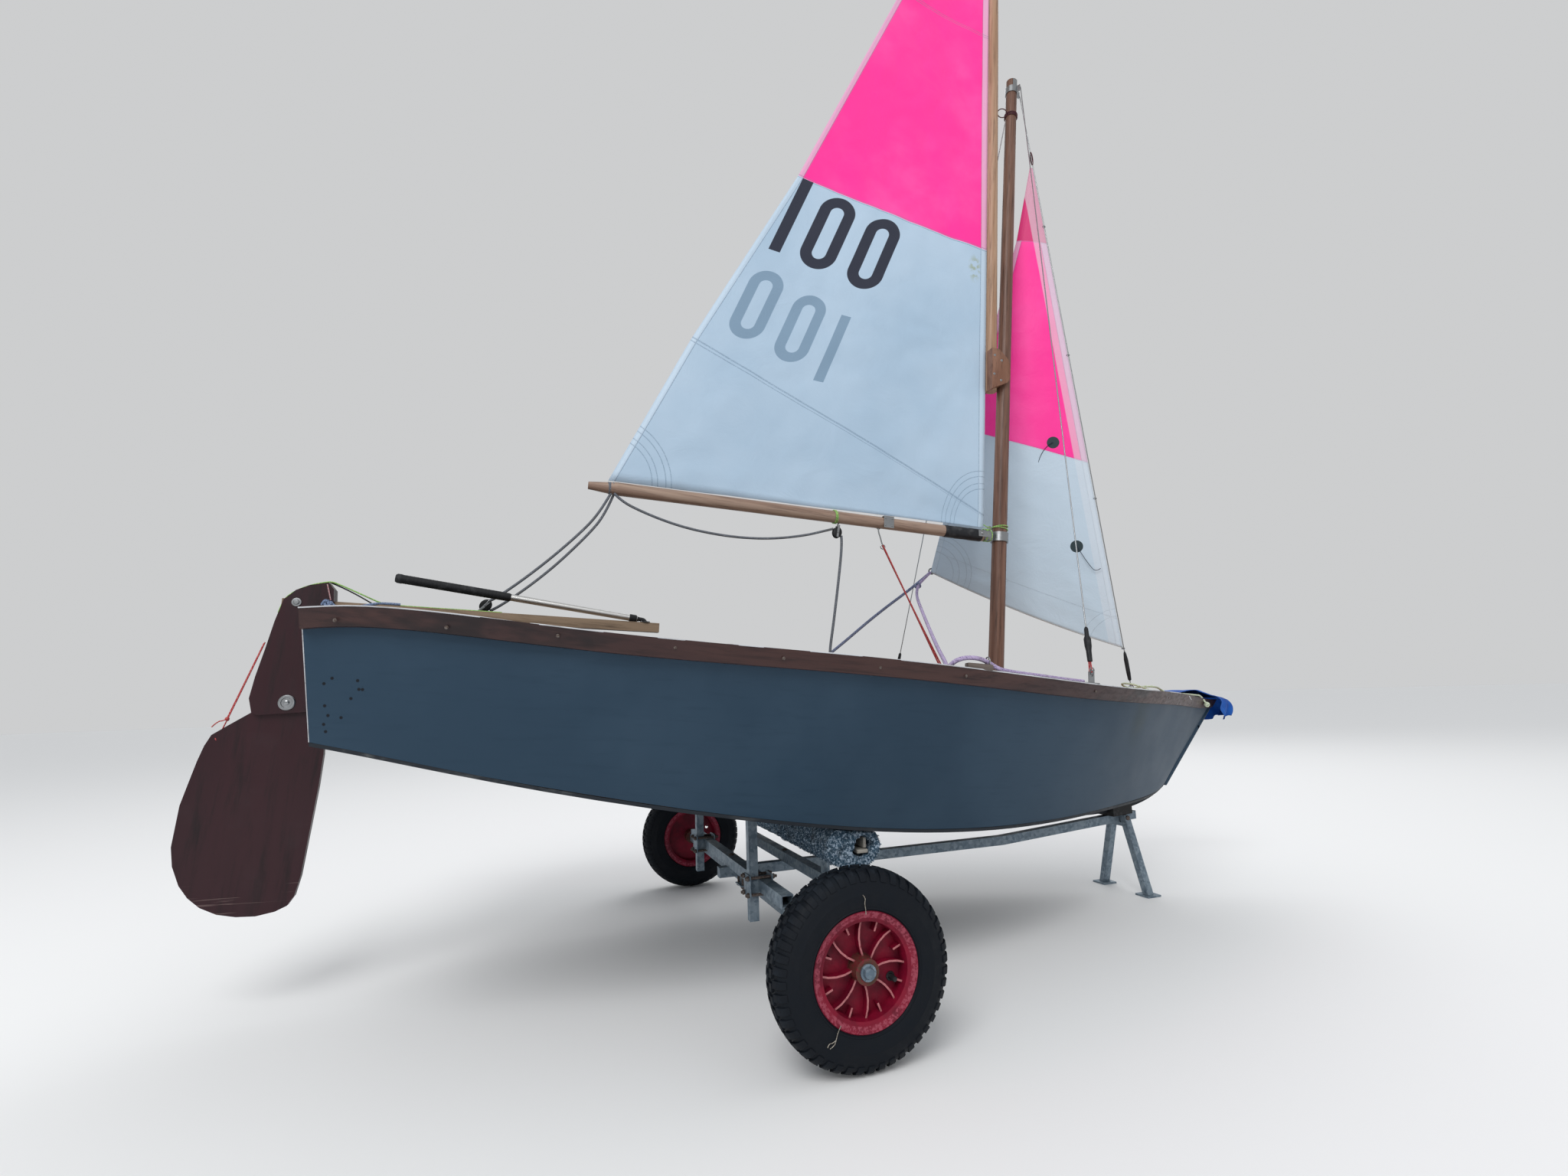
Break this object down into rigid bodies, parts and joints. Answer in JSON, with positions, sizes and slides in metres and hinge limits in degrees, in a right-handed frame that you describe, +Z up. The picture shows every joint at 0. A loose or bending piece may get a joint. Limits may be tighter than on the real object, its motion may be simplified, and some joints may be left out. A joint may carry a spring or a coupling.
{
  "type": "gunter-rigged sailing dinghy on a launching trolley",
  "caption": "Hard-chine plywood dinghy with gunter mainsail, jib, lifting rudder and tiller, parked on a wheeled launching trolley with a front leg.",
  "frame": {"origin": "on the floor under the middle of the whole, with the trolley standing on its wheels and front leg", "axes": "+X forward, +Y to port, +Z up"},
  "size_m": [3.5752, 1.754, 4.5833],
  "materials": {
    "hull_paint": "satin slate blue-grey paint on plywood",
    "bottom_varnish": "dark varnished plywood",
    "strake_wood": "dark red-brown varnished hardwood",
    "inner_ply": "varnished plywood",
    "deck_ply": "varnished plywood",
    "spar_wood": "varnished spruce",
    "rudder_wood": "dark varnished plywood",
    "tiller_wood": "weathered ash",
    "sail_cloth": "woven sailcloth with fluorescent pink panels",
    "bow_cloth": "woven blue cloth",
    "stainless": "stainless steel",
    "alloy_tube": "anodised tube with a black grip",
    "galvanised": "galvanised steel",
    "tyre_rubber": "moulded rubber",
    "rim_plastic": "red moulded plastic",
    "carpet": "grey pile carpet",
    "chock_rubber": "black rubber"
  },
  "bodies": {
    "root": {"axle": "galvanised", "bench_port": "inner_ply", "bench_starboard": "inner_ply", "bolster": "carpet", "bottom_panel_port": "bottom_varnish", "bottom_panel_starboard": "bottom_varnish", "bow_chock": "chock_rubber", "bow_cloth": "bow_cloth", "bunk_beam": "galvanised", "centreboard_case": "inner_ply", "chainplates": "stainless", "cross_tube": "galvanised", "foredeck": "deck_ply", "forestay": "stainless", "front_leg": "galvanised", "gudgeons": "stainless", "hounds_band": "stainless", "jib": "sail_cloth", "keel_strip": "bottom_varnish", "mast": "spar_wood", "mast_bulkhead": "inner_ply", "mast_partner": "strake_wood", "mast_step": "inner_ply", "props": "galvanised", "rubbing_strake_port": "strake_wood", "rubbing_strake_starboard": "strake_wood", "shroud_port": "stainless", "shroud_starboard": "stainless", "side_panel_port": "hull_paint", "side_panel_starboard": "hull_paint", "stem": "hull_paint", "stemhead_plate": "stainless", "thwart": "inner_ply", "tongue": "galvanised", "transom": "hull_paint"},
    "boom_and_yard": {"boom": "spar_wood", "gooseneck": "stainless", "mainsail": "sail_cloth", "yard": "spar_wood", "yard_jaws": "inner_ply"},
    "rudder": {"rudder_stock": "rudder_wood", "pintles": "stainless", "tiller": "tiller_wood", "tiller_extension": "alloy_tube"},
    "blade": {"rudder_blade": "rudder_wood"},
    "wheel_port": {"tyre_port": "tyre_rubber", "rim_port": "rim_plastic"},
    "wheel_starboard": {"tyre_starboard": "tyre_rubber", "rim_starboard": "rim_plastic"}
  },
  "joints": [
    {"name": "wheel_spin_port", "type": "hinge", "parent": "root", "child": "wheel_port", "pos_m": [-0.2929, 0.825, 0.2], "axis": [0, 1, 0], "continuous": true},
    {"name": "wheel_spin_starboard", "type": "hinge", "parent": "root", "child": "wheel_starboard", "pos_m": [-0.2929, -0.825, 0.2], "axis": [0, 1, 0], "continuous": true},
    {"name": "boom_swing", "type": "hinge", "parent": "root", "child": "boom_and_yard", "pos_m": [0.68467, 0, 0.78622], "axis": [0.1208, 0, 0.9927], "range_deg": [-70, 70]},
    {"name": "rudder_swing", "type": "hinge", "parent": "root", "child": "rudder", "pos_m": [-1.44473, 0, 0.97776], "axis": [-0.0359, 0, 0.9994], "range_deg": [-45, 45]},
    {"name": "rudder_lift", "type": "hinge", "parent": "rudder", "child": "blade", "pos_m": [-1.55597, 0, 0.78764], "axis": [0, 1, 0], "range_deg": [0, 95]}
  ]
}
